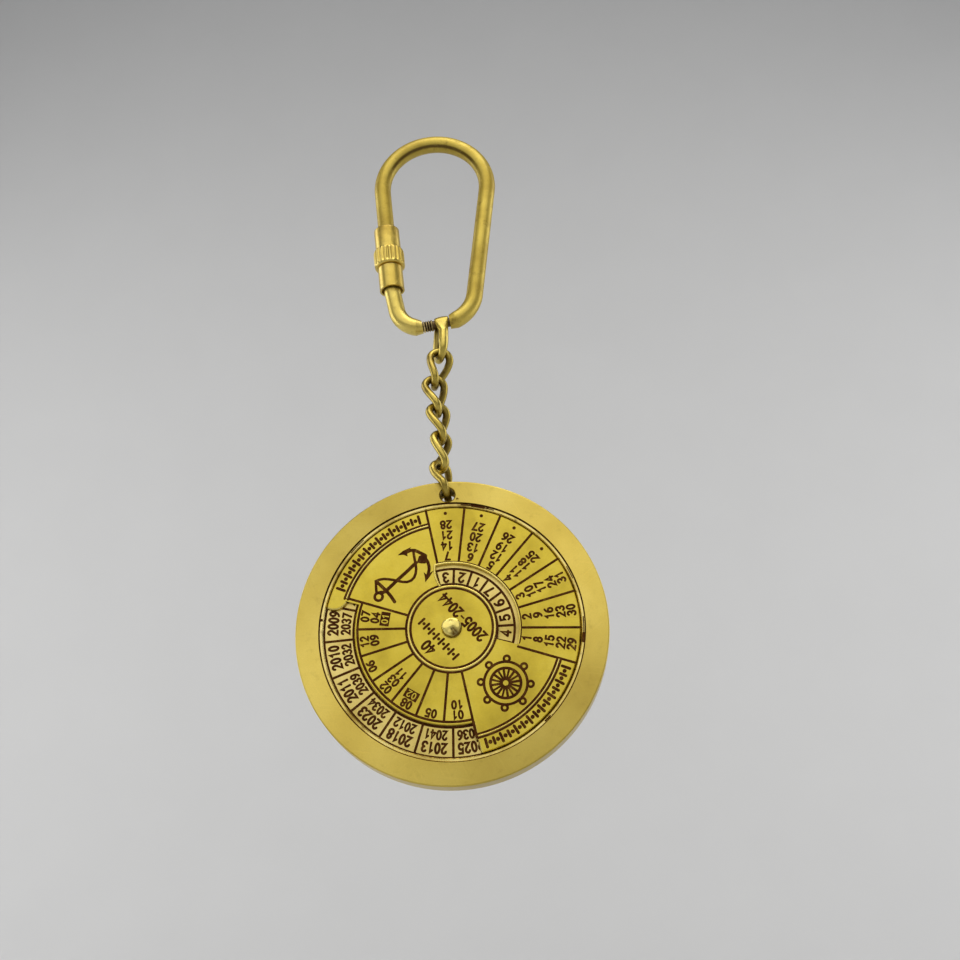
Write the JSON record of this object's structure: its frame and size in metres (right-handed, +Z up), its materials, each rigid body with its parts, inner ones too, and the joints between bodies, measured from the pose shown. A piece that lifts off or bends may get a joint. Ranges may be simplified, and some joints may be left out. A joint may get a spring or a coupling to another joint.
{
  "type": "perpetual calendar keyring",
  "caption": "Brass perpetual calendar keyring: a round case with a turning calendar dial, hung by a short curb chain from a screw-lock clip.",
  "frame": {"origin": "highest inner point of the clip, where it hangs on a hook or ring", "axes": "+Z up along the hanging chain, +X to the right across the case, -Y out of the calendar face towards the viewer"},
  "size_m": [0.0452, 0.0064, 0.1088],
  "materials": {
    "clip_wire": "polished and lightly worn",
    "lock_brass": "turned, with fine tool marks",
    "dark_pin": "dark, tarnished",
    "chain_wire": "polished and lightly worn",
    "case_brass": "brushed, with fine scratches",
    "plate_brass": "satin, with dark filled figures",
    "ring_brass": "polished",
    "dial_brass": "satin, with dark filled figures",
    "rivet_brass": "turned and worn"
  },
  "bodies": {
    "clip": {"clip_frame": "clip_wire", "leg_bush": "lock_brass", "pivot_pin": "dark_pin"},
    "nut": {"lock_nut": "lock_brass"},
    "gate": {"gate_arm": "clip_wire", "gate_ferrule": "lock_brass"},
    "ring": {"swivel_ring": "chain_wire"},
    "link_1": {"chain_link_1": "chain_wire"},
    "link_2": {"chain_link_2": "chain_wire"},
    "link_3": {"chain_link_3": "chain_wire"},
    "link_4": {"chain_link_4": "chain_wire"},
    "end": {"end_link": "chain_wire"},
    "case": {"case_base": "case_brass", "calendar_plate": "plate_brass", "retaining_ring": "ring_brass", "friction_washer": "plate_brass", "centre_rivet": "rivet_brass", "back_washer": "rivet_brass"},
    "dial": {"dial": "dial_brass"}
  },
  "joints": [
    {"name": "nut_slide", "type": "slide", "parent": "clip", "child": "nut", "axis": [-0.0715, 0, 0.9974], "range_m": [0, 0.005]},
    {"name": "gate_swing", "type": "hinge", "parent": "clip", "child": "gate", "pos_m": [-0.0004, 0, -0.03325], "axis": [0.9893, 0, 0.1461], "range_deg": [0, 20]},
    {"name": "ring_swing", "type": "hinge", "parent": "clip", "child": "ring", "pos_m": [0.00059, 0, -0.0331], "axis": [0.9893, 0, 0.1461], "range_deg": [-40, 40]},
    {"name": "link_1_hook", "type": "hinge", "parent": "ring", "child": "link_1", "pos_m": [0.00004, 0, -0.03943], "axis": [-0.3706, 0.9272, -0.0547], "range_deg": [-25, 25]},
    {"name": "link_2_hook", "type": "hinge", "parent": "link_1", "child": "link_2", "pos_m": [-0.00107, 0, -0.04281], "axis": [0.9811, 0.1736, 0.0858], "range_deg": [-25, 25]},
    {"name": "link_3_hook", "type": "hinge", "parent": "link_2", "child": "link_3", "pos_m": [-0.00054, 0, -0.04888], "axis": [-0.2071, 0.9781, -0.0181], "range_deg": [-25, 25]},
    {"name": "link_4_hook", "type": "hinge", "parent": "link_3", "child": "link_4", "pos_m": [-0.00015, 0, -0.05237], "axis": [0.7873, 0.6157, -0.0344], "range_deg": [-25, 25]},
    {"name": "end_link_hook", "type": "hinge", "parent": "link_4", "child": "end", "pos_m": [-0.00041, 0, -0.05847], "axis": [-0.6422, 0.766, 0.028], "range_deg": [-25, 25]},
    {"name": "case_swing", "type": "hinge", "parent": "end", "child": "case", "pos_m": [0.00063, 0, -0.06315], "axis": [0, 1, 0], "range_deg": [-15, 15]},
    {"name": "dial_turn", "type": "hinge", "parent": "case", "child": "dial", "pos_m": [0.00063, 0, -0.08353], "axis": [0, -1, 0], "continuous": true}
  ],
  "couplings": [
    {"joint": "gate_swing", "follows": "nut_slide", "rad_per_m": 69.813}
  ]
}
